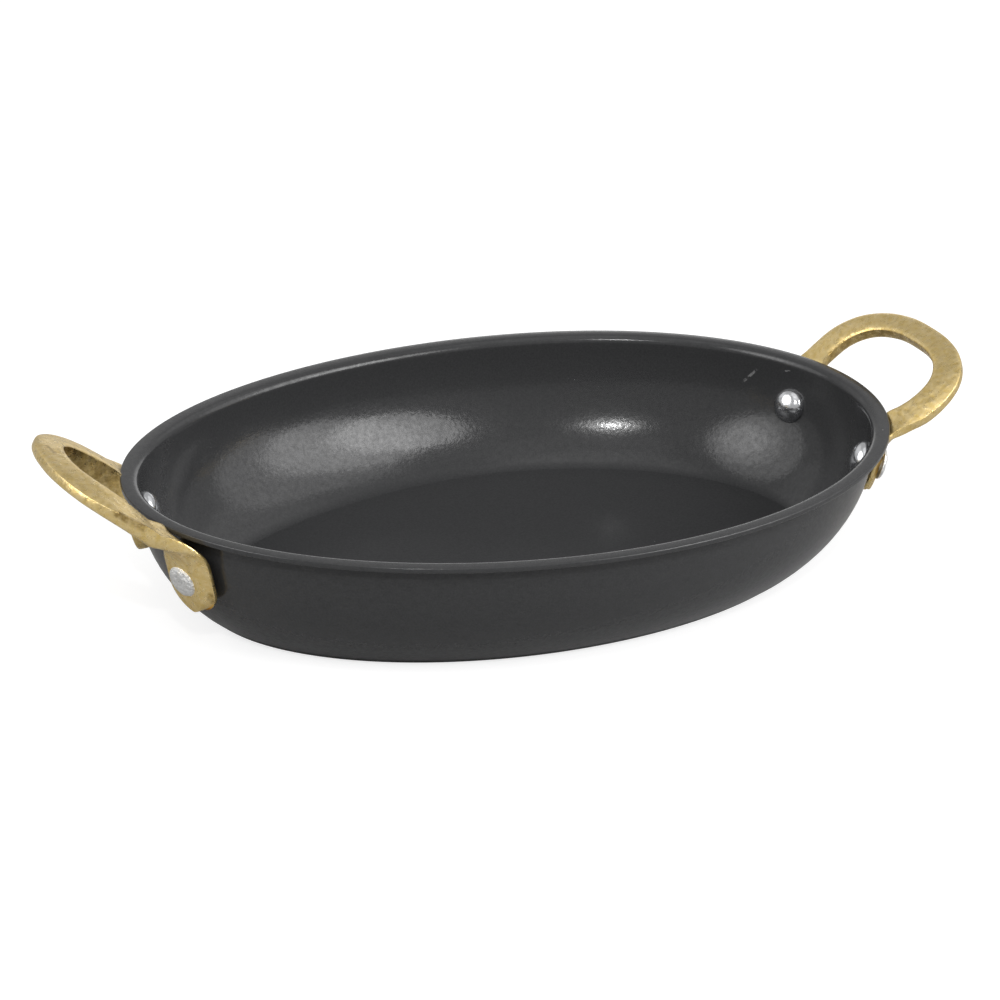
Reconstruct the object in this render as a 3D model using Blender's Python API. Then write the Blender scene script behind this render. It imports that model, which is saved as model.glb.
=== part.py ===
# Small oval pan of dark pressed sheet with two cast loop handles, each held by two rivets.
# Metres, +Z up. The origin is the middle of the flat base, and X runs through both handles.

import math

import bmesh
import bpy
from mathutils import Matrix, Vector

MM = 0.001

# Pan
RIM_LENGTH = 185.0 * MM
RIM_WIDTH = 128.0 * MM
PAN_HEIGHT = 31.0 * MM
SHEET = 1.2 * MM
LIP_FLAT = 2.4 * MM        # level part of the lip, seen from above
LIP_BEND = 2.0 * MM        # radius of the bend from wall to lip, on its upper side
LIP_EDGE_ROUND = 0.35 * MM
BASE_INSET = 18.0 * MM     # from the rim's edge in to the edge of the flat base, seen from above
BASE_ROUND = 2.0 * MM      # radius where the wall meets the base, on the outside
CREASE_ROUND = 1.2 * MM    # the same place on the inside, where the floor has its crease

# Handles
HANDLE_REACH = 15.8 * MM   # from the rim's end out to the middle of the grip
HANDLE_RISE = 10.0 * MM    # from the rim up to the middle of the grip
HANDLE_SLOPE = math.radians(29.0)  # at the grip
LOOP_CURL = math.radians(12.0)     # the loop is this much steeper at its widest place
LOOP_WIDTH = 42.4 * MM     # between the middles of the two sides
LOOP_DEPTH = 16.2 * MM     # along the slope, from the widest place to the middle of the grip
LOOP_SQUARENESS = 2.55     # 2 is an ellipse, higher is squarer
GRIP_WIDTH = 6.5 * MM      # the bar's width in the middle of the grip
ROOT_WIDTH = 7.1 * MM      # and at the loop's widest place
BAR_THICKNESS = 4.4 * MM
BAR_SQUARENESS = 3.4
BAR_TILT = math.radians(5.5)  # the bar's outer edge hangs lower than its inner one
LEG_START_PULL = 4.6 * MM  # how far the leg keeps the ear's direction, and then the loop's
LEG_END_PULL = 3.0 * MM

# Ears, the flat ends of each handle that lie on the wall
EAR_WIDTH = 11.8 * MM
EAR_THICKNESS = 2.8 * MM
EAR_DROP = 7.6 * MM        # from the rivet down to the ear's lowest edge
EAR_HEAD_ROOM = 2.1 * MM   # flat left above the rivet's head before the ear turns into the bar
EAR_OFFSET = 0.5 * MM      # the ear's middle lies this far outside its rivet
EAR_SQUARENESS = 5.0
EAR_END_ARC = math.radians(80.0)  # how far each side of the ear's end is round, the rest is flat

# Rivets
RIVET_SPACING = 34.6 * MM  # between the two rivets of one handle, measured across the pan
RIVET_HEIGHT = 19.5 * MM   # above the base, on the outside of the wall
SHANK_DIAMETER = 4.0 * MM
INNER_HEAD_DIAMETER = 7.6 * MM
INNER_HEAD_HEIGHT = 2.1 * MM
OUTER_HEAD_DIAMETER = 7.0 * MM
OUTER_HEAD_HEIGHT = 1.3 * MM
OUTER_HEAD_FLAT = 2.6 * MM  # diameter of the outer head's hammered flat

# Fits
GAP = 0.3 * MM             # between pieces that touch
HOLE_CLEARANCE = 0.3 * MM  # round each shank

# Edges sharper than this are left hard where the faces are shaded smooth
SHEET_SMOOTH = math.radians(35.0)
CAST_SMOOTH = math.radians(60.0)

# Fineness of the round shapes
OVAL_STEPS = 96
WALL_STEPS = 8
BEND_STEPS = 4
ROUND_STEPS = 2
SECTION_STEPS = 16
LOOP_STEPS = 14
LEG_STEPS = 9
EAR_END_STEPS = 5
RIVET_STEPS = 20
DOME_STEPS = 5

# Sizes that follow from the ones above
RIM_A = RIM_LENGTH / 2
RIM_B = RIM_WIDTH / 2
BEND_HEIGHT = PAN_HEIGHT - LIP_BEND
WALL_INSET = LIP_FLAT + LIP_BEND - SHEET
WALL_RADIUS = ((BASE_INSET - WALL_INSET) ** 2 + BEND_HEIGHT ** 2) / (2 * (BASE_INSET - WALL_INSET))
WALL_CENTRE = WALL_INSET + WALL_RADIUS
ACROSS = Vector((0, 1, 0))


def clear_scene():
    for thing in list(bpy.data.objects):
        bpy.data.objects.remove(thing, do_unlink=True)


def add_object(name, bm, smooth_angle=SHEET_SMOOTH):
    bmesh.ops.recalc_face_normals(bm, faces=bm.faces)
    mesh = bpy.data.meshes.new(name)
    bm.to_mesh(mesh)
    bm.free()
    mesh.shade_smooth()
    mesh.set_sharp_from_angle(angle=smooth_angle)
    thing = bpy.data.objects.new(name, mesh)
    bpy.context.scene.collection.objects.link(thing)
    return thing


def add_material(thing, name, colour, roughness, metallic):
    material = bpy.data.materials.new(name)
    material.use_nodes = True
    shader = material.node_tree.nodes["Principled BSDF"]
    shader.inputs["Base Color"].default_value = (*colour, 1.0)
    shader.inputs["Roughness"].default_value = roughness
    shader.inputs["Metallic"].default_value = metallic
    thing.data.materials.append(material)


def arc(centre, radius, start, end, steps):
    # Points from one angle to the other, both ends included
    points = []
    for step in range(steps + 1):
        angle = start + (end - start) * step / steps
        points.append((centre[0] + radius * math.cos(angle), centre[1] + radius * math.sin(angle)))
    return points


def rounded(before, corner, after, radius, steps):
    # A corner between two straight runs, replaced by an arc that touches both
    corner = Vector(corner)
    back = (Vector(before) - corner).normalized()
    ahead = (Vector(after) - corner).normalized()
    half = back.angle(ahead) / 2
    centre = corner + (back + ahead).normalized() * (radius / math.sin(half))
    first = corner + back * (radius / math.tan(half)) - centre
    last = corner + ahead * (radius / math.tan(half)) - centre
    start = math.atan2(first.y, first.x)
    turn = (math.atan2(last.y, last.x) - start + math.pi) % (2 * math.pi) - math.pi
    return arc(centre, radius, start, start + turn, steps)


# The wall's outer face in section is an arc, upright where it meets the lip's bend

def wall_inset(height):
    return WALL_CENTRE - math.sqrt(WALL_RADIUS ** 2 - (BEND_HEIGHT - height) ** 2)


def wall_angle(height, radius):
    # Angle of the arc's point at this height, seen from the arc's centre inside the pan
    return math.pi + math.asin((BEND_HEIGHT - height) / radius)


def pan_profile():
    # Section from the edge of the base up the outside, over the lip and down to the floor.
    # Each point is the distance in from the rim's edge and the height.
    centre = (WALL_CENTRE, BEND_HEIGHT)
    bend = (LIP_FLAT, BEND_HEIGHT)
    outside = arc(centre, WALL_RADIUS, wall_angle(0.0, WALL_RADIUS), math.pi, WALL_STEPS)
    inner_radius = WALL_RADIUS - SHEET
    inside = arc(centre, inner_radius, math.pi, wall_angle(SHEET, inner_radius), WALL_STEPS)
    points = rounded((outside[0][0] + BASE_INSET, 0.0), outside[0], outside[1], BASE_ROUND, ROUND_STEPS)
    points += outside[1:-1]
    points += arc(bend, LIP_BEND - SHEET, 0.0, math.pi / 2, BEND_STEPS)
    under = (0.0, PAN_HEIGHT - SHEET)
    over = (0.0, PAN_HEIGHT)
    points += rounded(bend, under, over, LIP_EDGE_ROUND, ROUND_STEPS)
    points += rounded(under, over, (LIP_FLAT, PAN_HEIGHT), LIP_EDGE_ROUND, ROUND_STEPS)
    points += arc(bend, LIP_BEND, math.pi / 2, 0.0, BEND_STEPS)
    points += inside[1:-1]
    floor = (inside[-1][0] + BASE_INSET, SHEET)
    points += rounded(inside[-2], inside[-1], floor, CREASE_ROUND, ROUND_STEPS)
    return points


def add_pan():
    # The profile is turned round the upright axis and then narrowed to an oval rim
    bm = bmesh.new()
    points = pan_profile()
    verts = [bm.verts.new((RIM_A - inset, 0.0, height)) for inset, height in points]
    edges = [bm.edges.new(pair) for pair in zip(verts, verts[1:])]
    bmesh.ops.spin(
        bm,
        geom=verts + edges,
        axis=(0, 0, 1),
        cent=(0, 0, 0),
        angle=2 * math.pi,
        steps=OVAL_STEPS,
        use_merge=True,
    )
    for vert in bm.verts:
        radius = math.hypot(vert.co.x, vert.co.y)
        vert.co.y *= (radius - RIM_A + RIM_B) / radius
    rims = [edge for edge in bm.edges if edge.is_boundary]
    bmesh.ops.holes_fill(bm, edges=rims, sides=0)
    return add_object("pan_body", bm)


def wall_point(across, height):
    # Point of the wall's outer face at this height, this far from the pan's long axis
    inset = wall_inset(height)
    along = (RIM_A - inset) * math.sqrt(1 - (across / (RIM_B - inset)) ** 2)
    return Vector((along, across, height))


def wall_normal(across, height):
    inset = wall_inset(height)
    point = wall_point(across, height)
    a = RIM_A - inset
    b = RIM_B - inset
    flare = (BEND_HEIGHT - height) / (WALL_CENTRE - inset)
    down = (point.x ** 2 / a ** 3 + point.y ** 2 / b ** 3) * flare
    return Vector((point.x / a ** 2, point.y / b ** 2, -down)).normalized()


def rivet_frame(side):
    # Where a rivet of the right-hand handle leaves the wall, and its direction outwards
    across = side * RIVET_SPACING / 2
    return wall_point(across, RIVET_HEIGHT), wall_normal(across, RIVET_HEIGHT)


def section(centre, wide, thick, half_width, half_thickness, squareness):
    # One rounded cross-section of the handle, as a ring of points
    ring = []
    power = 2 / squareness
    for step in range(SECTION_STEPS):
        angle = 2 * math.pi * (step + 0.5) / SECTION_STEPS
        x = math.copysign(abs(math.cos(angle)) ** power, math.cos(angle))
        y = math.copysign(abs(math.sin(angle)) ** power, math.sin(angle))
        ring.append(centre + wide * (x * half_width) + thick * (y * half_thickness))
    return ring


def tilted(wide, thick, angle):
    # Both directions of a cross-section, turned so that its outer edge goes down
    cosine = math.cos(angle)
    sine = math.sin(angle)
    return wide * cosine + thick * sine, thick * cosine - wide * sine


def ear_sections(middle, out, up, normal):
    # From the ear's rounded lower end up to where it turns into the bar
    rings = []
    end_radius = EAR_WIDTH / 2
    for step in range(EAR_END_STEPS + 1):
        angle = EAR_END_ARC * (1 - step / EAR_END_STEPS)
        drop = EAR_DROP - end_radius + end_radius * math.sin(angle)
        half_width = end_radius * math.cos(angle)
        rings.append(section(middle - up * drop, out, normal, half_width, EAR_THICKNESS / 2, EAR_SQUARENESS))
    # One more section level with the rivet, so that no single face goes all round its hole
    rings.append(section(middle, out, normal, end_radius, EAR_THICKNESS / 2, EAR_SQUARENESS))
    return rings


def leg_sections(start, out, up, loop_start, slope):
    # The leg leaves the ear along the wall and bends outwards under the lip to the loop
    rings = []
    pull_a = start + up * LEG_START_PULL
    pull_b = loop_start - slope * LEG_END_PULL
    for step in range(LEG_STEPS):
        t = step / LEG_STEPS
        s = 1 - t
        centre = s ** 3 * start + 3 * s * s * t * pull_a + 3 * s * t * t * pull_b + t ** 3 * loop_start
        ahead = s * s * (pull_a - start) + 2 * s * t * (pull_b - pull_a) + t * t * (loop_start - pull_b)
        ahead.normalize()
        blend = t * t * (3 - 2 * t)
        wide = out.lerp(ACROSS, blend)
        wide -= ahead * wide.dot(ahead)
        wide.normalize()
        half_width = (EAR_WIDTH * (1 - blend) + ROOT_WIDTH * blend) / 2
        half_thickness = (EAR_THICKNESS * (1 - blend) + BAR_THICKNESS * blend) / 2
        squareness = EAR_SQUARENESS * (1 - blend) + BAR_SQUARENESS * blend
        wide, thick = tilted(wide, wide.cross(ahead), BAR_TILT * blend)
        rings.append(section(centre, wide, thick, half_width, half_thickness, squareness))
    return rings


def loop_line(reach):
    # The loop's middle line seen from the side: an arc that flattens towards the grip.
    # The reach is measured from the loop's widest place.
    slope = Vector((math.cos(HANDLE_SLOPE), 0, math.sin(HANDLE_SLOPE)))
    lift = Vector((-math.sin(HANDLE_SLOPE), 0, math.cos(HANDLE_SLOPE)))
    grip = Vector((RIM_A + HANDLE_REACH, 0, PAN_HEIGHT + HANDLE_RISE))
    radius = LOOP_DEPTH / LOOP_CURL
    turn = (LOOP_DEPTH - reach) / radius
    point = grip - slope * (radius * math.sin(turn)) - lift * (radius * (1 - math.cos(turn)))
    return point, slope * math.cos(turn) + lift * math.sin(turn)


def loop_sections():
    # A quarter of the loop, from its widest place to the middle of the grip
    rings = []
    power = 2 / LOOP_SQUARENESS
    for step in range(LOOP_STEPS + 1):
        angle = math.pi / 2 * step / LOOP_STEPS
        reach = LOOP_DEPTH * math.sin(angle) ** power
        across = LOOP_WIDTH / 2 * max(math.cos(angle), 0.0) ** power
        point, slope = loop_line(reach)
        # The oval outline's own normal
        wide = ACROSS * (across ** (LOOP_SQUARENESS - 1) / (LOOP_WIDTH / 2) ** LOOP_SQUARENESS)
        wide += slope * (reach ** (LOOP_SQUARENESS - 1) / LOOP_DEPTH ** LOOP_SQUARENESS)
        wide.normalize()
        wide, thick = tilted(wide, ACROSS.cross(slope), BAR_TILT)
        half_width = (ROOT_WIDTH + (GRIP_WIDTH - ROOT_WIDTH) * reach / LOOP_DEPTH) / 2
        centre = point + ACROSS * across
        rings.append(section(centre, wide, thick, half_width, BAR_THICKNESS / 2, BAR_SQUARENESS))
    return rings


def handle_mesh():
    rivet, normal = rivet_frame(1)
    up = (Vector((0, 0, 1)) - normal * normal.z).normalized()
    out = normal.cross(up) * -1
    middle = rivet + out * EAR_OFFSET + normal * (GAP + EAR_THICKNESS / 2)
    loop_start, slope = loop_line(0.0)
    loop_start = loop_start + ACROSS * (LOOP_WIDTH / 2)
    rings = ear_sections(middle, out, up, normal)
    ear_rise = OUTER_HEAD_DIAMETER / 2 + EAR_HEAD_ROOM
    rings += leg_sections(middle + up * ear_rise, out, up, loop_start, slope)
    rings += loop_sections()
    mirrored = [[Vector((co.x, -co.y, co.z)) for co in ring] for ring in reversed(rings[:-1])]
    bm = bmesh.new()
    loops = [[bm.verts.new(co) for co in ring] for ring in rings + mirrored]
    for first, second in zip(loops, loops[1:]):
        for step in range(SECTION_STEPS):
            after = (step + 1) % SECTION_STEPS
            bm.faces.new((first[step], first[after], second[after], second[step]))
    bm.faces.new(loops[0])
    bm.faces.new(loops[-1])
    return bm


def rivet_profile():
    # From the top of the polished head inside the pan to the flat of the head outside.
    # Each point is the distance from the axis and the place along it, from the wall's outer face.
    radius = INNER_HEAD_DIAMETER / 2
    seat_sag = radius ** 2 / (2 * (WALL_RADIUS - SHEET))
    inner_seat = -(SHEET + GAP + seat_sag)
    outer_seat = GAP + EAR_THICKNESS + GAP
    shank = SHANK_DIAMETER / 2
    outer_radius = OUTER_HEAD_DIAMETER / 2
    points = []
    for step in range(DOME_STEPS + 1):
        angle = math.pi / 2 * step / DOME_STEPS
        points.append((radius * math.sin(angle), inner_seat - INNER_HEAD_HEIGHT * math.cos(angle)))
    points.append((shank, inner_seat))
    points.append((shank, outer_seat))
    flat = OUTER_HEAD_FLAT / 2
    for step in range(DOME_STEPS + 1):
        angle = math.pi / 2 * step / DOME_STEPS
        distance = flat + (outer_radius - flat) * math.cos(angle)
        points.append((distance, outer_seat + OUTER_HEAD_HEIGHT * math.sin(angle)))
    points.append((0.0, outer_seat + OUTER_HEAD_HEIGHT))
    return points


def turned(points, steps):
    bm = bmesh.new()
    verts = [bm.verts.new((radius, 0.0, along)) for radius, along in points]
    edges = [bm.edges.new(pair) for pair in zip(verts, verts[1:])]
    bmesh.ops.spin(
        bm,
        geom=verts + edges,
        axis=(0, 0, 1),
        cent=(0, 0, 0),
        angle=2 * math.pi,
        steps=steps,
        use_merge=True,
    )
    bmesh.ops.remove_doubles(bm, verts=bm.verts, dist=0.00001)
    return bm


def place_on_axis(thing, side, end):
    # end is 1 for the right-hand handle and -1 for the left-hand one
    point, normal = rivet_frame(side)
    upright = normal.to_track_quat("Z", "Y").to_matrix().to_4x4()
    half_turn = Matrix.Rotation(0.0 if end > 0 else math.pi, 4, "Z")
    thing.matrix_world = half_turn @ Matrix.Translation(point) @ upright


def add_rivet(name, side, end):
    rivet = add_object(name, turned(rivet_profile(), RIVET_STEPS))
    place_on_axis(rivet, side, end)
    add_material(rivet, name + "_aluminium", (0.62, 0.63, 0.65), 0.28, 1.0)
    return rivet


def add_hole_cutter(name, side, end):
    radius = SHANK_DIAMETER / 2 + HOLE_CLEARANCE
    inside = -2 * SHEET
    outside = 2 * (GAP + EAR_THICKNESS)
    points = [(0.0, inside), (radius, inside), (radius, outside), (0.0, outside)]
    cutter = add_object(name, turned(points, RIVET_STEPS))
    place_on_axis(cutter, side, end)
    cutter.hide_render = True
    cutter.display_type = "WIRE"
    return cutter


def cut(thing, cutters):
    for cutter in cutters:
        hole = thing.modifiers.new("hole", "BOOLEAN")
        hole.operation = "DIFFERENCE"
        hole.solver = "EXACT"
        hole.object = cutter
    # The faces with a hole's edge in them become triangles that keep clear of the hole
    triangles = thing.modifiers.new("triangles", "TRIANGULATE")
    triangles.quad_method = "FIXED"
    triangles.ngon_method = "CLIP"


def main():
    clear_scene()
    pan = add_pan()
    add_material(pan, "dark_steel", (0.055, 0.056, 0.060), 0.38, 0.75)
    for hand, end in (("right", 1), ("left", -1)):
        handle = add_object("handle_" + hand, handle_mesh(), CAST_SMOOTH)
        handle.rotation_euler = (0, 0, 0.0 if end > 0 else math.pi)
        add_material(handle, "cast_brass_" + hand, (0.60, 0.43, 0.18), 0.36, 1.0)
        cutters = []
        for place, side in (("front", -1), ("back", 1)):
            # A half turn swaps front and back on the left-hand handle
            add_rivet("rivet_" + hand + "_" + place, side * end, end)
            cutters.append(add_hole_cutter("hole_" + hand + "_" + place, side * end, end))
        cut(pan, cutters)
        cut(handle, cutters)


main()
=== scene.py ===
# A small oval pan of dark steel with a cast brass loop handle riveted to each end.
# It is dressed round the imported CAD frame: metres, +Z up, +X towards the right-hand handle.
import math

import bmesh
import bpy
from mathutils import Matrix, Vector, noise


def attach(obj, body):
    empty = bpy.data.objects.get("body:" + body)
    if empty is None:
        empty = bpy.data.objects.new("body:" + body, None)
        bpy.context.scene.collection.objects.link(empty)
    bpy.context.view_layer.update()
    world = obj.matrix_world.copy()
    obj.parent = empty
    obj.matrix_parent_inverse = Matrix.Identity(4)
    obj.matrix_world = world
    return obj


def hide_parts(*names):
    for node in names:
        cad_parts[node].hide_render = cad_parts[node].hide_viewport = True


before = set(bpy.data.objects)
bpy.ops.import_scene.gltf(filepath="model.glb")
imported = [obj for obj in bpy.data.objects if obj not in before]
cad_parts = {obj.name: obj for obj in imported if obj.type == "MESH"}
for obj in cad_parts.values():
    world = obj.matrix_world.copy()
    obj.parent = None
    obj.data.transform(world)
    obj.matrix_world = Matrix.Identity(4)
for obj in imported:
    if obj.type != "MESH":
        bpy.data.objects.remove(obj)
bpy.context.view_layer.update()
print("frame loaded:", len(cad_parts), "nodes")

mm = 0.001
weldDistance = 0.002 * mm
upward = Vector((0, 0, 1))
across = Vector((0, 1, 0))


def makeObject(name, bm, sharpAngle):
    # closed mesh with its faces outwards, smooth but for the edges sharper than the angle
    bmesh.ops.remove_doubles(bm, verts=bm.verts, dist=weldDistance)
    bmesh.ops.recalc_face_normals(bm, faces=bm.faces)
    mesh = bpy.data.meshes.new(name)
    bm.to_mesh(mesh)
    bm.free()
    mesh.shade_smooth()
    mesh.set_sharp_from_angle(angle=math.radians(sharpAngle))
    piece = bpy.data.objects.new(name, mesh)
    bpy.context.scene.collection.objects.link(piece)
    return piece


def ease(part):
    # 0 up to 0, 1 from 1 on, with a soft start and end
    part = min(1.0, max(0.0, part))
    return part * part * (3 - 2 * part)


def spinProfile(bm, points, steps):
    # turns a line of points, in mm out and up, once round the upright axis
    verts = [bm.verts.new((out * mm, 0, height * mm)) for out, height in points]
    for pair in zip(verts, verts[1:]):
        bm.edges.new(pair)
    bmesh.ops.spin(bm, geom=bm.verts[:] + bm.edges[:], axis=upward, cent=(0, 0, 0),
                   angle=2 * math.pi, steps=steps, use_merge=True)


noiseRange = (0.3, 0.7)   # between which soft noise mostly stays


def startMaterial(name, metallic):
    # a Principled material whose patterns are measured in millimetres on the object
    material = bpy.data.materials.new(name)
    material.use_nodes = True
    tree = material.node_tree
    shader = tree.nodes["Principled BSDF"]
    shader.inputs["Metallic"].default_value = metallic
    place = tree.nodes.new("ShaderNodeTexCoord")
    scale = tree.nodes.new("ShaderNodeMapping")
    scale.inputs["Scale"].default_value = (1 / mm, 1 / mm, 1 / mm)
    tree.links.new(place.outputs["Object"], scale.inputs["Vector"])
    return material, tree, shader, scale.outputs["Vector"]


def grain(tree, vector, size, detail=2.0, roughness=0.5):
    # soft noise whose lumps are about this many millimetres across
    cloud = tree.nodes.new("ShaderNodeTexNoise")
    cloud.inputs["Scale"].default_value = 1 / size
    cloud.inputs["Detail"].default_value = detail
    cloud.inputs["Roughness"].default_value = roughness
    tree.links.new(vector, cloud.inputs["Vector"])
    return cloud.outputs["Fac"]


def spread(tree, value, fromLow, fromHigh, toLow, toHigh):
    remap = tree.nodes.new("ShaderNodeMapRange")
    limits = {"From Min": fromLow, "From Max": fromHigh, "To Min": toLow, "To Max": toHigh}
    for socket, number in limits.items():
        remap.inputs[socket].default_value = number
    tree.links.new(value, remap.inputs["Value"])
    return remap.outputs["Result"]


def graded(tree, value, low, high):
    return spread(tree, value, *noiseRange, low, high)


def twoColours(tree, value, low, high):
    # low is a colour, or what another node gives
    mix = tree.nodes.new("ShaderNodeMix")
    mix.data_type = "RGBA"
    if isinstance(low, tuple):
        mix.inputs["A"].default_value = (*low, 1)
    else:
        tree.links.new(low, mix.inputs["A"])
    mix.inputs["B"].default_value = (*high, 1)
    tree.links.new(value, mix.inputs["Factor"])
    return mix.outputs["Result"]


def numberStep(tree, operation, *values):
    step = tree.nodes.new("ShaderNodeMath")
    step.operation = operation
    for value, socket in zip(values, step.inputs):
        tree.links.new(value, socket)
    return step.outputs["Value"]


def vectorStep(tree, operation, vector, other=(0, 0, 0)):
    step = tree.nodes.new("ShaderNodeVectorMath")
    step.operation = operation
    step.inputs[1].default_value = other
    tree.links.new(vector, step.inputs[0])
    return step.outputs["Value" if operation == "LENGTH" else "Vector"]


def bump(tree, height, depth, under=None):
    # depth is in millimetres
    relief = tree.nodes.new("ShaderNodeBump")
    relief.inputs["Distance"].default_value = depth * mm
    tree.links.new(height, relief.inputs["Height"])
    if under is not None:
        tree.links.new(under, relief.inputs["Normal"])
    return relief.outputs["Normal"]


pan = {   # mm
    "length": 185.0, "width": 128.0, "height": 31.0,   # over the lip
    "sheet": 1.2,
    "lipFlat": 2.4, "lipBend": 2.0, "lipEdge": 0.35,
    "baseInset": 18.0, "footRound": 1.96, "creaseRound": 0.96,
    "steps": 192, "wallSteps": 16,
    # how far the thin rim is out of level, from corner to corner and from end to end
    "rimTwist": 0.73, "rimBow": 0.25,
    # how unevenly the foot was pressed in along the far side, how fast that dies out
    # up the wall, and how sharply at the ends of the far side
    "footDrift": (0.39, -1.18, 0.49, 1.13, -0.44), "footDriftFade": 1.5, "farSideEdge": 1.6,
    "sharpAngle": 35,
}
rimLong = pan["length"] / 2
rimShort = pan["width"] / 2
bendHeight = pan["height"] - pan["lipBend"]
wallInset = pan["lipFlat"] + pan["lipBend"] - pan["sheet"]
wallSpan = pan["baseInset"] - wallInset
wallRadius = (wallSpan ** 2 + bendHeight ** 2) / (2 * wallSpan)
wallCentre = wallInset + wallRadius


def arcPoints(centre, radius, start, end, steps):
    turn = [start + (end - start) * step / steps for step in range(steps + 1)]
    return [(centre[0] + radius * math.cos(a), centre[1] + radius * math.sin(a)) for a in turn]


def roundCorner(before, corner, after, radius, steps):
    corner = Vector(corner)
    back = (Vector(before) - corner).normalized()
    ahead = (Vector(after) - corner).normalized()
    half = back.angle(ahead) / 2
    centre = corner + (back + ahead).normalized() * (radius / math.sin(half))
    first = corner + back * (radius / math.tan(half)) - centre
    last = corner + ahead * (radius / math.tan(half)) - centre
    start = math.atan2(first.y, first.x)
    turn = (math.atan2(last.y, last.x) - start + math.pi) % (2 * math.pi) - math.pi
    return arcPoints(centre, radius, start, start + turn, steps)


def wallTurn(height, radius):
    return math.pi + math.asin((bendHeight - height) / radius)


def panProfile():
    # distance in from the rim's edge and height, up the outside and down to the floor
    sheet, flat, curl, edge = pan["sheet"], pan["lipFlat"], pan["lipBend"], pan["lipEdge"]
    steps = pan["wallSteps"]
    centre, bend = (wallCentre, bendHeight), (flat, bendHeight)
    outside = arcPoints(centre, wallRadius, wallTurn(0, wallRadius), math.pi, steps)
    innerRadius = wallRadius - sheet
    inside = arcPoints(centre, innerRadius, math.pi, wallTurn(sheet, innerRadius), steps)
    inwards = 9   # any point further in along the flat base
    foot, crease = (outside[0][0] + inwards, 0), (inside[-1][0] + inwards, sheet)
    points = roundCorner(foot, outside[0], outside[1], pan["footRound"], 4)
    points += outside[2:-1]
    points += arcPoints(bend, curl - sheet, 0, math.pi / 2, 6)
    under, over = (0.0, pan["height"] - sheet), (0.0, pan["height"])
    points += roundCorner(bend, under, over, edge, 3)
    points += roundCorner(under, over, (flat, pan["height"]), edge, 3)
    points += arcPoints(bend, curl, math.pi / 2, 0, 8)
    points += inside[1:-1]
    points += roundCorner(inside[-2], inside[-1], crease, pan["creaseRound"], 3)
    return points


def pressUneven(vert):
    # a pressed sheet is never quite true: the rim is twisted a little and the foot wanders
    turn = math.atan2(vert.co.y / rimShort, vert.co.x / rimLong)
    low = max(0.0, 1 - vert.co.z / mm / pan["height"]) ** pan["footDriftFade"]
    farSide = min(1.0, max(0.0, 0.5 + pan["farSideEdge"] * math.sin(turn)))
    waves = sum(size * math.cos(k * turn) for k, size in enumerate(pan["footDrift"]))
    drift = waves * low * farSide
    lift = pan["rimTwist"] * math.sin(2 * turn) + pan["rimBow"] * math.cos(2 * turn)
    vert.co.x -= drift * math.cos(turn) * mm
    vert.co.y -= drift * math.sin(turn) * mm
    vert.co.z += lift * vert.co.z / pan["height"]


def panBody():
    bm = bmesh.new()
    spinProfile(bm, [(rimLong - inset, height) for inset, height in panProfile()], pan["steps"])
    for vert in bm.verts:   # narrowed from a circle to the oval rim
        radius = math.hypot(vert.co.x, vert.co.y)
        vert.co.y *= (radius - (rimLong - rimShort) * mm) / radius
        pressUneven(vert)
    bmesh.ops.holes_fill(bm, edges=[e for e in bm.edges if e.is_boundary], sides=0)
    return makeObject("panBody", bm, pan["sharpAngle"])


# Each pattern is given as its size in mm, its detail and its roughness, as grain takes them.
steelFinish = {
    "dark": (0.0325, 0.0328, 0.0338), "light": (0.0395, 0.0398, 0.041),
    "speckle": (0.45, 2.0, 0.6),
    "reflection": (0.15, 0.38), "mottle": (1.1, 4.0, 0.65),
    "roughness": (0.14, 0.22), "cloud": (14.0, 3.0),
    "peel": (0.9, 3.0), "peelDepth": 0.026,
    "film": 0.24, "filmRoughness": 0.1,       # the thin baked oil film over the satin sheet
    "floorFilm": 0.03, "floorShine": 0.15,    # what the floor has left of the film and shine
    "floorEnd": (0.1, 1.4),                   # mm above it, where the wall's finish takes over
    "pale": (0.17, 0.17, 0.17),
    "speckSpacing": 4.0,                      # mm
    "speckChosen": (0.86, 0.9),               # which of the places have a speck
    "speckSize": 0.03,                        # as a part of the spacing
    "speckSoft": 1.8,                         # and so many times as far out it has faded
    "scratchBreaks": (0.7, 2.0), "scratchBroken": (0.42, 0.56),
    "scratches": (                            # mm: middle, direction, half length and width
        ((77.1, 28.4, 25.0), (0.461, -0.470, 0.753), 3.0, 0.42),
        ((82.8, 20.2, 28.6), (0.462, -0.848, 0.259), 1.1, 0.26),
    ),
}


def paleMarks(tree, vector):
    # 1 on the specks of dust and wear and on the scratches, 0 elsewhere
    own = steelFinish
    specks = tree.nodes.new("ShaderNodeTexVoronoi")
    specks.inputs["Scale"].default_value = 1 / own["speckSpacing"]
    tree.links.new(vector, specks.inputs["Vector"])
    size = own["speckSize"]
    chosen = spread(tree, specks.outputs["Color"], *own["speckChosen"], 0, 1)
    near = spread(tree, specks.outputs["Distance"], size, size * own["speckSoft"], 1, 0)
    pale = numberStep(tree, "MULTIPLY", chosen, near)
    breaks = grain(tree, vector, *own["scratchBreaks"])
    broken = spread(tree, breaks, *own["scratchBroken"], 0, 1)
    for middle, way, half, width in own["scratches"]:   # thin lines that fade out to both ends
        offset = vectorStep(tree, "SUBTRACT", vector, middle)
        aside = vectorStep(tree, "LENGTH", vectorStep(tree, "CROSS_PRODUCT", offset, way))
        line = spread(tree, aside, width / 2, width, 1, 0)
        stroke = spread(tree, vectorStep(tree, "LENGTH", offset), half / 2, half, 1, 0)
        whole = numberStep(tree, "MULTIPLY", line, stroke)
        pale = numberStep(tree, "MULTIPLY_ADD", whole, broken, pale)
    return pale


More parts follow.
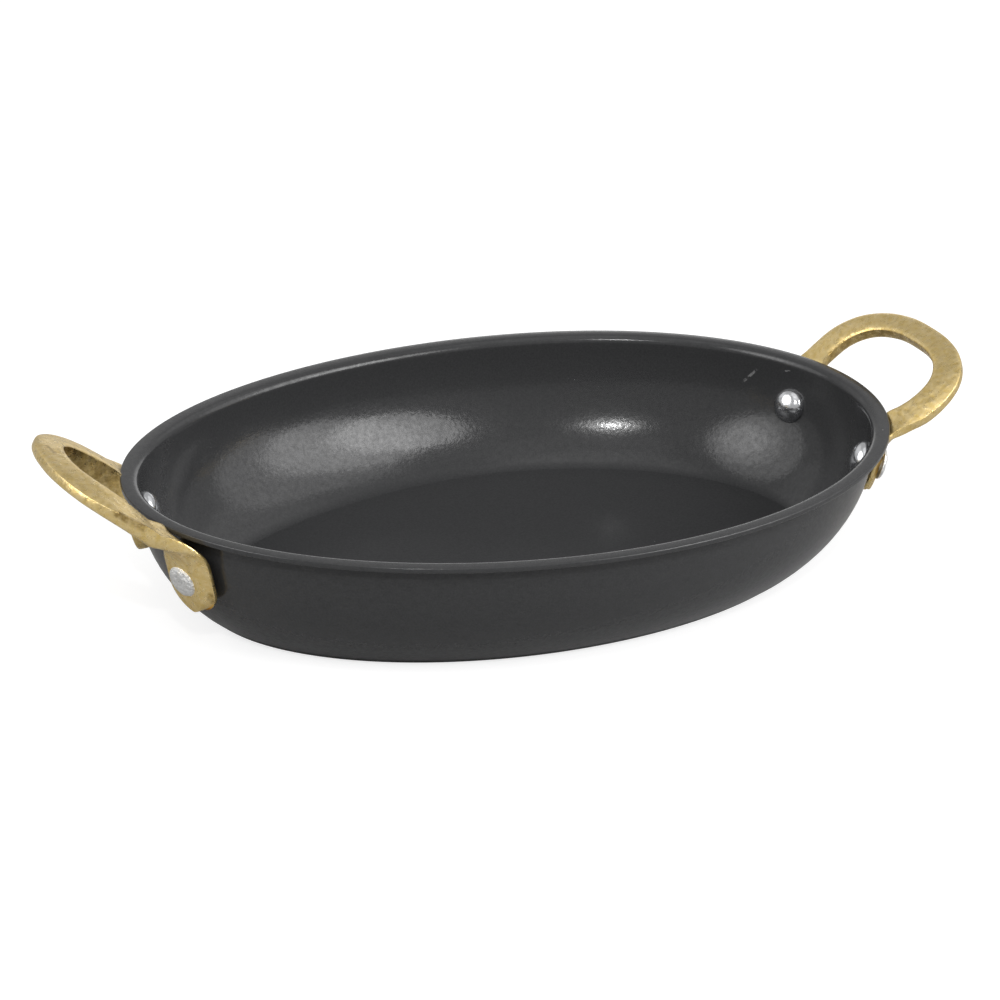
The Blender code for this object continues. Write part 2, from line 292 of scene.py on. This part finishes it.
def darkSteel():
    # satin sheet with a faint mottle under its film, duller on the floor
    own = steelFinish
    material, tree, shader, vector = startMaterial("darkSteel", 0.0)
    speckle = graded(tree, grain(tree, vector, *own["speckle"]), 0, 1)
    tint = twoColours(tree, speckle, own["dark"], own["light"])
    marked = twoColours(tree, paleMarks(tree, vector), tint, own["pale"])
    tree.links.new(marked, shader.inputs["Base Color"])

    height = tree.nodes.new("ShaderNodeSeparateXYZ")
    tree.links.new(vector, height.inputs["Vector"])
    start, full = (pan["sheet"] + rise for rise in own["floorEnd"])
    raised = spread(tree, height.outputs["Z"], start, full, 0, 1)
    mottle = graded(tree, grain(tree, vector, *own["mottle"]), *own["reflection"])
    shine = numberStep(tree, "MULTIPLY", mottle, spread(tree, raised, 0, 1, own["floorShine"], 1))
    tree.links.new(shine, shader.inputs["Specular IOR Level"])
    cloud = graded(tree, grain(tree, vector, *own["cloud"]), *own["roughness"])
    tree.links.new(cloud, shader.inputs["Roughness"])

    peel = bump(tree, grain(tree, vector, *own["peel"]), own["peelDepth"])
    tree.links.new(peel, shader.inputs["Normal"])
    tree.links.new(peel, shader.inputs["Coat Normal"])
    film = spread(tree, raised, 0, 1, own["floorFilm"], own["film"])
    tree.links.new(film, shader.inputs["Coat Weight"])
    shader.inputs["Coat Roughness"].default_value = own["filmRoughness"]
    return material


panPiece = panBody()
panPiece.data.materials.append(darkSteel())
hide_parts("pan_body")
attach(panPiece, "root")
print("pan made:", len(panPiece.data.polygons), "faces")


rivet = {   # mm
    "spacing": 35.0, "height": 20.0,     # between a handle's two rivets, and above the base
    "drift": {"rightBackRivet": 0.8},    # a hole drilled a little off its place
    "shank": 4.0,
    "domeDiameter": 8.4, "domeHeight": 2.7,
    "domeRim": 0.12, "domeBevel": 0.1,   # the thin straight rim under the dome
    "headDiameter": 7.5, "headHeight": 1.05, "headFlat": 3.2,
    "wallGap": 0.06, "earGap": 0.05,     # between the two heads and what they hold
    "domeSteps": 14, "headSteps": 10, "steps": 48,
    "dents": 0.14, "dentsPerMm": 0.9,    # how uneven the hammered head is
    "dentsFrom": 0.3,                    # above the ear
    "outOfRound": 0.05, "outOfRoundPerMm": 0.35,
    "sharpAngle": 50,
}


def wallPlace(side, height, drift=0):
    # point and outward direction on the wall's outer face, this far across, at the right-hand end
    inset = wallCentre - math.sqrt(wallRadius ** 2 - (bendHeight - height) ** 2)
    long, short = rimLong - inset, rimShort - inset
    y = side * (rivet["spacing"] / 2 + drift)
    x = long * math.sqrt(1 - (y / short) ** 2)
    flare = (bendHeight - height) / (wallCentre - inset)
    down = (x * x / long ** 3 + y * y / short ** 3) * flare
    return Vector((x, y, height)), Vector((x / long ** 2, y / short ** 2, -down)).normalized()


def quarterTurn(steps):
    return [math.pi / 2 * step / steps for step in range(steps + 1)]


def rivetProfile(earTop):
    # distance out and height, from the dome inside the pan to the flatter head on the ear
    dome, head = rivet["domeDiameter"] / 2, rivet["headDiameter"] / 2
    shank, flat = rivet["shank"] / 2, rivet["headFlat"] / 2
    wallSag = dome ** 2 / (2 * (wallRadius - pan["sheet"]))
    seat = -(pan["sheet"] + wallSag + rivet["wallGap"])
    rim = seat + rivet["domeRim"]
    profile = [(dome * math.sin(a), seat - rivet["domeHeight"] * math.cos(a))
               for a in quarterTurn(rivet["domeSteps"])]
    profile += [(dome - rivet["domeBevel"], rim), (shank, rim), (shank, earTop)]
    profile += [(flat + (head - flat) * math.cos(a), earTop + rivet["headHeight"] * math.sin(a))
                for a in quarterTurn(rivet["headSteps"])]
    top = profile[-1][1]
    return profile + [(flat * 0.66, top), (flat * 0.33, top), (0, top)]


def rivetPiece(name, side, end):
    # a polished dome, a shank and a hammered head, through the wall and the ear
    point, outward = wallPlace(side, rivet["height"], rivet["drift"].get(name, 0))
    earTop = handle["earGap"] + handle["earThickness"] + rivet["earGap"]
    bm = bmesh.new()
    spinProfile(bm, rivetProfile(earTop), rivet["steps"])
    ownDents = Vector((side * 3.1, end * 5.7, 1.3))   # so that no two heads are alike
    for vert in bm.verts:
        if vert.co.z > (earTop + rivet["dentsFrom"]) * mm:
            dent = noise.noise(vert.co / mm * rivet["dentsPerMm"] + ownDents)
            vert.co.z += dent * rivet["dents"] * mm
            swell = noise.noise(ownDents * 2 + vert.co / mm * rivet["outOfRoundPerMm"])
            vert.co.x *= 1 + swell * rivet["outOfRound"]
    turn = outward.to_track_quat("Z", "Y").to_matrix().to_4x4()
    halfTurn = Matrix.Rotation(0 if end > 0 else math.pi, 4, "Z")
    bmesh.ops.remove_doubles(bm, verts=bm.verts, dist=weldDistance)
    for face in bm.faces:   # polished below the wall's face, hammered above it
        face.material_index = 1 if face.calc_center_median().z > 0 else 0
    place = halfTurn @ Matrix.Translation(point * mm) @ turn
    bmesh.ops.transform(bm, matrix=place, verts=bm.verts)
    return makeObject(name, bm, rivet["sharpAngle"])


handle = {   # mm and degrees
    # middle of the grip, from the rim's end and above the rim
    "reach": 16.73, "rise": 9.61,
    # the loop's slope at the grip, and how much steeper it starts
    "slope": 27.5, "curl": 7.3,
    "loopWidth": 42.4, "loopDepth": 15.94, "loopSquare": 2.4,
    "gripWidth": 6.2, "rootWidth": 6.93, "thickness": 3.76,
    # how tall the bar's sides are under its top, and their limit in half thicknesses
    "sideIn": 3.64, "sideOut": 2.77, "sideLimit": 1.96,
    # how much deeper the underside is at the inner edge, and how flat the top (higher is flatter)
    "heel": 0.0, "crown": 4.0,
    # how far the bar leans outwards, how many times more at the grip, and how far to the front
    "tilt": -1.0, "tiltGrip": 1.5, "bank": 7.7,
    # how far the casting is out of true, from so far out and growing over so much
    "lean": 0.01, "yaw": -0.03, "shift": -0.04, "aside": 0.49,
    "trueUntil": 86.0, "trueFade": 14.0,
    # how far the leg keeps the ear's direction, and the loop's
    "startPull": 3.6, "endPull": 3.8,
    # how far up the leg the ear's plate shape and its width run out
    "shapeEnd": 0.55, "taperEnd": 0.7,
    # how much taller the leg's outer side is than the grip's, its lean, and how far both reach
    "legSide": 0.0, "legTilt": 0.0, "legUntil": 0.8,
    "farSide": {},   # what differs on the side away from the camera
    "earWidth": 11.2, "earThickness": 2.8, "earDrop": 7.1, "earRise": 5.66, "earOffset": 0.1,
    "earSquare": 5.0, "earGap": 0.3,
    # the bevelled band along the ear's outer edge, and its crease
    "earBevel": 2.2, "earFlat": 0.4, "earStep": -0.35,
    "earEndTurn": 86, "earSteps": 10, "plateSteps": 4,
    "sectionSteps": 64, "loopSteps": 36, "legSteps": 24, "softening": 1,
    "unevenness": 0.06, "waveSize": 5.0,   # the hand-finished surface's slow waves
    # how dark the painted shade on the loop's inner side is, standing for the dark pan it faces
    # and reflects
    "paintedShadeAndFlaws": 0.8, "paintedShadeFrom": 0.86, "paintedShadeFade": 0.12,
    # dark marks painted on: start, end and radius, and how much of the radius is dark and fading
    "marks": [], "markCore": 0.6, "markFade": 0.9,
    "sharpAngle": 60,
}
leftHandle = {
    **handle,
    "reach": 17.0, "rise": 11.95, "slope": 28.5, "curl": 15.8,
    "loopWidth": 40.5, "loopDepth": 17.9, "loopSquare": 2.08,
    "gripWidth": 5.7, "rootWidth": 8.7, "thickness": 3.86,
    "sideIn": 4.2, "sideOut": 2.4, "heel": 0.9,
    "tilt": 0.3, "tiltGrip": 1.16, "bank": 8.2,
    "lean": 0.02, "yaw": 0.01, "shift": 0.36, "aside": -0.41,
    "startPull": 6.0, "endPull": 1.24,
    "legSide": 1.5, "legTilt": -10.0,
    "farSide": {
        "curl": 10.0, "loopSquare": 2.5, "heel": 1.9, "startPull": 3.6, "endPull": 3.4,
        "legSide": 0.0, "legTilt": 0.0, "earDrop": 9.0,
    },
    "earWidth": 13.0, "earDrop": 7.8, "earRise": 4.73, "earOffset": 1.18,
    # the first and last, on the grip's top, are casting flaws; the second, down the near leg's
    # outer side, is painted shade of a darker facet; the third is a short dark stroke on the
    # front ear
    "marks": [
        ((-109.0, 6.6, 44.4), (-108.5, 1.8, 44.6), 0.35),
        ((-102.7, -22.8, 39.6), (-97.7, -24.9, 36.5), 0.75),
        ((-82.2, -24.0, 16.2), (-82.4, -23.8, 17.4), 0.8),
        ((-107.2, 4.2, 43.9), (-106.6, 1.6, 43.9), 0.3),
    ],
}


def sectionRing(bm, own, centre, wide, thick, halfWidth, halfThick, form, taller, heel):
    # one closed cross-section, pressed out of a circle: the ear's plate with its bevelled outer
    # edge (form 0), turning into the bar with its flat underside and rounded top (form 1)
    made = bmesh.ops.create_circle(bm, cap_ends=False, radius=1, segments=own["sectionSteps"])
    paintedShadeAndFlaws = bm.verts.layers.float["paintedShadeAndFlaws"]
    sideIn = own["sideIn"] / halfThick
    sideOut = min((own["sideOut"] + taller) / halfThick, own["sideLimit"])
    crownHeight = 2 - (sideIn + sideOut) / 2
    for vert in made["verts"]:
        x, y = vert.co.x, vert.co.y
        plateX = math.copysign(abs(x) ** (2 / own["earSquare"]), x)
        plateY = math.copysign(abs(y) ** (2 / own["earSquare"]), y)
        if y > 0:
            band = (plateX - own["earFlat"]) / (1 - own["earFlat"])
            if band > 0:
                cut = own["earStep"] + (own["earBevel"] - own["earStep"]) * band
                plateY *= 1 - cut / halfThick
            barX = math.copysign(abs(x) ** 0.5, x)
        else:
            barX = x
        ridge = 1 - (sideIn + (sideOut - sideIn) * (barX + 1) / 2)
        if y > 0:
            barY = ridge + (1 - ridge + heel / halfThick * max(0.0, -barX)) * y ** 0.5
        else:
            barY = ridge - crownHeight * (1 - abs(barX) ** own["crown"])
        # painted shade on the bar's inner side, which faces the dark pan
        innerSide = ease((-barX - own["paintedShadeFrom"]) / own["paintedShadeFade"])
        vert[paintedShadeAndFlaws] = own["paintedShadeAndFlaws"] * form * innerSide
        x = plateX * (1 - form) + barX * form
        y = plateY * (1 - form) + barY * form
        vert.co = (centre + wide * (x * halfWidth) + thick * (y * halfThick)) * mm
    return made["verts"]


def tiltedPair(wide, thick, degrees):
    turn = math.radians(degrees)
    c, s = math.cos(turn), math.sin(turn)
    return wide * c + thick * s, thick * c - wide * s


def loopLine(own, reach):
    # the loop's middle line seen from the side, steeper near the pan than at the grip
    slope = math.radians(own["slope"])
    along = Vector((math.cos(slope), 0, math.sin(slope)))
    lift = Vector((-math.sin(slope), 0, math.cos(slope)))
    grip = Vector((rimLong + own["reach"], 0, pan["height"] + own["rise"]))
    radius = own["loopDepth"] / math.radians(own["curl"])
    turn = (own["loopDepth"] - reach) / radius
    point = grip - along * (radius * math.sin(turn)) - lift * (radius * (1 - math.cos(turn)))
    return point, along * math.cos(turn) + lift * math.sin(turn)


def halfHandle(own, bank, gripHeel):
    # the cross-sections from the ear's lower end to the middle of the grip
    rivetPoint, outward = wallPlace(1, rivet["height"])
    earUp = (upward - outward * outward.z).normalized()
    earOut = earUp.cross(outward)
    standOff = own["earGap"] + own["earThickness"] / 2
    middle = rivetPoint + earOut * own["earOffset"] + outward * standOff
    ear, plate = own["earWidth"] / 2, own["earThickness"] / 2
    root, bar = own["rootWidth"] / 2, own["thickness"] / 2
    rows = []
    for step in range(own["earSteps"] + 1):
        turn = math.radians(own["earEndTurn"]) * (1 - step / own["earSteps"])
        drop = own["earDrop"] - ear + ear * math.sin(turn)
        half = ear * math.cos(turn)
        rows.append((middle - earUp * drop, earOut, outward, half, plate, 0, 0, 0))
    for step in range(1, own["plateSteps"]):
        rise = own["earRise"] * step / own["plateSteps"]
        rows.append((middle + earUp * rise, earOut, outward, ear, plate, 0, 0, 0))
    start = middle + earUp * own["earRise"]
    loopStart, slope = loopLine(own, 0)
    loopStart += across * (own["loopWidth"] / 2)
    pullA, pullB = start + earUp * own["startPull"], loopStart - slope * own["endPull"]
    for step in range(own["legSteps"]):   # the leg, along a curve from the ear to the loop
        t = step / own["legSteps"]
        s = 1 - t
        centre = (s ** 3 * start + 3 * s * s * t * pullA
                  + 3 * s * t * t * pullB + t ** 3 * loopStart)
        ahead = (s * s * (pullA - start) + 2 * s * t * (pullB - pullA)
                 + t * t * (loopStart - pullB)).normalized()
        blend = ease(t)
        taper = ease(t / own["taperEnd"])
        form = ease(t / own["shapeEnd"])
        wide = earOut.lerp(across, blend)
        wide = (wide - ahead * wide.dot(ahead)).normalized()
        tilt = (own["tilt"] + bank + own["legTilt"]) * blend
        wide, thick = tiltedPair(wide, wide.cross(ahead), tilt)
        rows.append((centre, wide, thick, ear * (1 - taper) + root * taper,
                     plate * (1 - blend) + bar * blend, form, own["legSide"], own["heel"]))
    power = own["loopSquare"]
    for step in range(own["loopSteps"] + 1):   # the loop, a squarish half oval
        turn = math.pi / 2 * step / own["loopSteps"]
        reach = own["loopDepth"] * math.sin(turn) ** (2 / power)
        y = own["loopWidth"] / 2 * max(math.cos(turn), 0.0) ** (2 / power)
        part = reach / own["loopDepth"]
        point, slope = loopLine(own, reach)
        wide = across * (y ** (power - 1) / (own["loopWidth"] / 2) ** power)
        wide = (wide + slope * (part ** (power - 1) / own["loopDepth"])).normalized()
        leg = 1 - ease(part / own["legUntil"])
        tilt = own["tilt"] * (1 + (own["tiltGrip"] - 1) * part)
        tilt += bank * wide.y
        tilt += own["legTilt"] * leg
        wide, thick = tiltedPair(wide, across.cross(slope), tilt)
        width = own["rootWidth"] + (own["gripWidth"] - own["rootWidth"]) * part ** 3
        heel = gripHeel + (own["heel"] - gripHeel) * leg
        rows.append((point + across * y, wide, thick, width / 2, bar,
                     1, own["legSide"] * leg, heel))
    return rows


def otherSide(row):
    return [Vector((v.x, -v.y, v.z)) for v in row[:3]] + list(row[3:])


def loftRings(bm, rings):
    for lower, upper in zip(rings, rings[1:]):
        lower, upper = set(lower), set(upper)
        edges = {e for v in lower | upper for e in v.link_edges
                 if set(e.verts) <= lower or set(e.verts) <= upper}
        bmesh.ops.bridge_loops(bm, edges=list(edges))
    for ring in (rings[0], rings[-1]):
        edges = {e for v in ring for e in v.link_edges if e.is_boundary}
        bmesh.ops.holes_fill(bm, edges=list(edges), sides=0)


def darkenMarks(bm, own):
    # paints the dark marks, each a short rounded stroke: casting flaws, and painted shade where a
    # mark stands for a shaded facet
    paintedShadeAndFlaws = bm.verts.layers.float["paintedShadeAndFlaws"]
    for vert in bm.verts:
        for start, end, radius in own["marks"]:
            start, line = Vector(start), Vector(end) - Vector(start)
            along = (vert.co / mm - start).dot(line) / line.length_squared
            along = min(1.0, max(0.0, along))
            away = (vert.co / mm - start - line * along).length
            faded = ease((away - radius * own["markCore"]) / (radius * own["markFade"]))
            vert[paintedShadeAndFlaws] = max(vert[paintedShadeAndFlaws], 1 - faded)


def handlePiece(name, own, end):
    # lofted from one ear up round the loop and down to the other ear
    bm = bmesh.new()
    # painted shade on the inner side and the dark marks, kept on the vertices for the material
    bm.verts.layers.float.new("paintedShadeAndFlaws")
    far = {**own, **own["farSide"]}
    first, second = (far, own) if end > 0 else (own, far)
    rows = halfHandle(first, -end * own["bank"], own["heel"])
    back = halfHandle(second, end * own["bank"], own["heel"])[:-1]
    rows += [otherSide(row) for row in reversed(back)]
    loftRings(bm, [sectionRing(bm, own, *row) for row in rows])
    for step in range(own["softening"]):
        bmesh.ops.smooth_vert(bm, verts=bm.verts, factor=0.5,
                              use_axis_x=True, use_axis_y=True, use_axis_z=True)
    bmesh.ops.recalc_face_normals(bm, faces=bm.faces)
    bm.normal_update()
    ownWaves = Vector((end * 7.0, 0, 3.3))
    for vert in bm.verts:   # hand finished, and cast a little out of true
        wave = noise.noise(vert.co / mm / own["waveSize"] + ownWaves)
        vert.co += vert.normal * (wave * own["unevenness"] * mm)
        part = ease((vert.co.x / mm - own["trueUntil"]) / own["trueFade"])
        y = vert.co.y
        vert.co += Vector((own["yaw"] * y, own["shift"] * mm, own["lean"] * y)) * part
    if end < 0:
        halfTurn = Matrix.Rotation(math.pi, 3, "Z")
        bmesh.ops.rotate(bm, verts=bm.verts, cent=(0, 0, 0), matrix=halfTurn)
    bmesh.ops.translate(bm, verts=bm.verts, vec=(0, own["aside"] * mm, 0))
    darkenMarks(bm, own)
    return makeObject(name, bm, own["sharpAngle"])


brassFinish = {
    "dull": (0.84, 0.61, 0.21), "bright": (1.0, 0.80, 0.43),
    "clouds": (1.5, 5.0, 0.7), "cloudRange": (0.32, 0.68),
    # the dark colour of the painted shade on the loop's inner side and of the dark marks
    "paintedShadeAndFlaws": (0.36, 0.235, 0.07),
    "shadePatches": (1.6, 4.0, 0.65), "shadePatchRange": (0.38, 0.6), "shadePatchLeast": 0.35,   # the painted shade's patches
    "roughness": (0.22, 0.42), "satin": (1.4, 3.0),
    "waves": (3.0, 3.0, 0.6), "waveDepth": 0.3,   # mm
    "pits": (0.5, 3.0, 0.7), "pitDepth": 0.055,   # mm
}


def castBrass():
    # satin, lightly tumbled casting with fine pits and cloudy patches, with painted shade in
    # patches on the inner side and dark marks
    own = brassFinish
    material, tree, shader, vector = startMaterial("castBrass", 1.0)
    clouds = spread(tree, grain(tree, vector, *own["clouds"]), *own["cloudRange"], 0, 1)
    metal = twoColours(tree, clouds, own["dull"], own["bright"])
    # the painted shade on the inner side and the dark marks, read from the mesh
    paintedShadeAndFlaws = tree.nodes.new("ShaderNodeAttribute")
    paintedShadeAndFlaws.attribute_name = "paintedShadeAndFlaws"
    shadePatches = spread(tree, grain(tree, vector, *own["shadePatches"]), *own["shadePatchRange"], own["shadePatchLeast"], 1)
    patchy = numberStep(tree, "MULTIPLY", paintedShadeAndFlaws.outputs["Fac"], shadePatches)
    tree.links.new(twoColours(tree, patchy, metal, own["paintedShadeAndFlaws"]), shader.inputs["Base Color"])
    satin = graded(tree, grain(tree, vector, *own["satin"]), *own["roughness"])
    tree.links.new(satin, shader.inputs["Roughness"])
    waves = bump(tree, grain(tree, vector, *own["waves"]), own["waveDepth"])
    pits = bump(tree, grain(tree, vector, *own["pits"]), own["pitDepth"], waves)
    tree.links.new(pits, shader.inputs["Normal"])
    return material


aluminiumFinish = {
    "polishedAluminium": {
        "colour": (0.8, 0.81, 0.83), "roughness": (0.1, 0.24), "satin": (0.8, 3.0),
        "dents": (1.5, 2.0), "dentDepth": 0.05,
    },
    "hammeredAluminium": {
        "colour": (0.9, 0.9, 0.89), "roughness": (0.3, 0.5), "satin": (0.6, 3.0),
        "dents": (1.2, 4.0, 0.65), "dentDepth": 0.7,
    },
}


def aluminium(name):
    own = aluminiumFinish[name]
    material, tree, shader, vector = startMaterial(name, 1.0)
    shader.inputs["Base Color"].default_value = (*own["colour"], 1)
    satin = graded(tree, grain(tree, vector, *own["satin"]), *own["roughness"])
    tree.links.new(satin, shader.inputs["Roughness"])
    dents = bump(tree, grain(tree, vector, *own["dents"]), own["dentDepth"])
    tree.links.new(dents, shader.inputs["Normal"])
    return material


brass = castBrass()
polished, hammered = aluminium("polishedAluminium"), aluminium("hammeredAluminium")
for hand, end in (("right", 1), ("left", -1)):
    loop = handlePiece(hand + "Handle", handle if end > 0 else leftHandle, end)
    loop.data.materials.append(brass)
    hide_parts("handle_" + hand)
    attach(loop, "root")
    for place, side in (("front", -1), ("back", 1)):
        node = "rivet_" + hand + "_" + place
        pin = rivetPiece(hand + place.capitalize() + "Rivet", side * end, end)
        pin.data.materials.append(polished)
        pin.data.materials.append(hammered)
        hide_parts(node)
        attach(pin, "root")
    print(hand, "handle made:", len(loop.data.polygons), "faces")


floor = {
    "size": 3.0, "below": 0.05 * mm,   # metres
    "colour": (0.4, 0.4, 0.4),
    "glow": 0.74,   # for the camera alone, over the shaded floor
}


def floorPiece():
    bm = bmesh.new()
    bmesh.ops.create_grid(bm, x_segments=1, y_segments=1, size=floor["size"] / 2)
    bmesh.ops.translate(bm, verts=bm.verts, vec=(0, 0, -floor["below"]))
    piece = makeObject("floor", bm, 30)
    material = bpy.data.materials.new("paleFloor")
    material.use_nodes = True
    tree = material.node_tree
    tree.nodes.remove(tree.nodes["Principled BSDF"])
    matt = tree.nodes.new("ShaderNodeBsdfDiffuse")
    matt.inputs["Color"].default_value = (*floor["colour"], 1)
    glow = tree.nodes.new("ShaderNodeEmission")
    ray = tree.nodes.new("ShaderNodeLightPath")
    strength = spread(tree, ray.outputs["Is Camera Ray"], 0, 1, 0, floor["glow"])
    tree.links.new(strength, glow.inputs["Strength"])
    both = tree.nodes.new("ShaderNodeAddShader")
    tree.links.new(matt.outputs["BSDF"], both.inputs[0])
    tree.links.new(glow.outputs["Emission"], both.inputs[1])
    tree.links.new(both.outputs["Shader"], tree.nodes["Material Output"].inputs["Surface"])
    piece.data.materials.append(material)


studioLight = 0.42   # the white studio's light on the pan; the camera sees plain white


def surroundings():
    world = bpy.data.worlds.new("studio")
    world.use_nodes = True
    bpy.context.scene.world = world
    tree = world.node_tree
    back = tree.nodes["Background"]
    ray = tree.nodes.new("ShaderNodeLightPath")
    strength = spread(tree, ray.outputs["Is Camera Ray"], 0, 1, studioLight, 1)
    tree.links.new(strength, back.inputs["Strength"])
    back.inputs["Color"].default_value = (1, 1, 1, 1)


lamps = {   # degrees round from the front and above the floor, metres wide and high, watts
    "rightSoftbox": (34, 31, 0.5, 0.55, 4.2),
    "rightMiddle": (50, 30, 0.6, 0.75, 4.2),
    "rightWide": (66, 30, 0.7, 0.95, 2.6),
    "leftSoftbox": (-84, 38, 0.4, 0.42, 0.95),
    "leftMiddle": (-86, 38, 0.7, 0.72, 2.0),
    "leftWide": (-97, 37, 1.0, 0.95, 4.0),
    "cameraFlash": (-23, 42, 0.05, 0.02, 1.9),
    "flashRim": (-23, 42, 0.3, 0.12, 0.75),
    "frontHigh": (-10, 62, 0.8, 0.5, 0.33),
    "overhead": (0, 85, 0.8, 0.8, 0.77),
    "backLow": (146, 8, 0.9, 0.3, 0.5),
    "backLeft": (-155, 30, 0.8, 0.6, 0.35),
    "backRight": (105, 40, 0.7, 0.6, 0.46),
}
lampDistance = 1.2
sameArea = 1.128   # an oval has to be this much wider and higher for the area of its rectangle


def bearing(azimuth, elevation):
    # direction from the pan, both in radians, 0 is level and from the front
    level = math.cos(elevation)
    return Vector((math.sin(azimuth) * level, -math.cos(azimuth) * level, math.sin(elevation)))


def softbox(name, azimuth, elevation, width, height, power):
    place = bearing(math.radians(azimuth), math.radians(elevation)) * lampDistance
    light = bpy.data.lights.new(name, "AREA")
    light.shape = "ELLIPSE"
    light.size, light.size_y = width * sameArea, height * sameArea
    light.energy = power
    lamp = bpy.data.objects.new(name, light)
    bpy.context.scene.collection.objects.link(lamp)
    lamp.location = place
    lamp.rotation_euler = (-place).to_track_quat("-Z", "Y").to_euler()


view = {
    "azimuth": -24.95, "elevation": 24.5, "roll": 1.53,   # degrees
    "distance": 750.0, "aim": (-1.68, 3.33, 15.0),        # mm
    "focal": 3226.0, "imageWidth": 1000,                  # picture points
    "sensorWidth": 36,
}


def photoCamera():
    azimuth, elevation = math.radians(view["azimuth"]), math.radians(view["elevation"])
    roll = math.radians(view["roll"])
    back = bearing(azimuth, elevation)
    right = Vector((math.cos(azimuth), math.sin(azimuth), 0))
    up = back.cross(right)
    c, s = math.cos(roll), math.sin(roll)
    right, up = right * c + up * s, up * c - right * s
    data = bpy.data.cameras.new("camera")
    data.sensor_width = view["sensorWidth"]
    data.lens = view["focal"] * view["sensorWidth"] / view["imageWidth"]
    camera = bpy.data.objects.new("camera", data)
    bpy.context.scene.collection.objects.link(camera)
    turn = Matrix((right, up, back)).transposed().to_4x4()
    place = (Vector(view["aim"]) + back * view["distance"]) * mm
    camera.matrix_world = Matrix.Translation(place) @ turn
    bpy.context.scene.camera = camera


floorPiece()
surroundings()
for name, settings in lamps.items():
    softbox(name, *settings)
photoCamera()
bpy.context.scene.view_settings.view_transform = "Standard"
print("floor, lights and camera set")
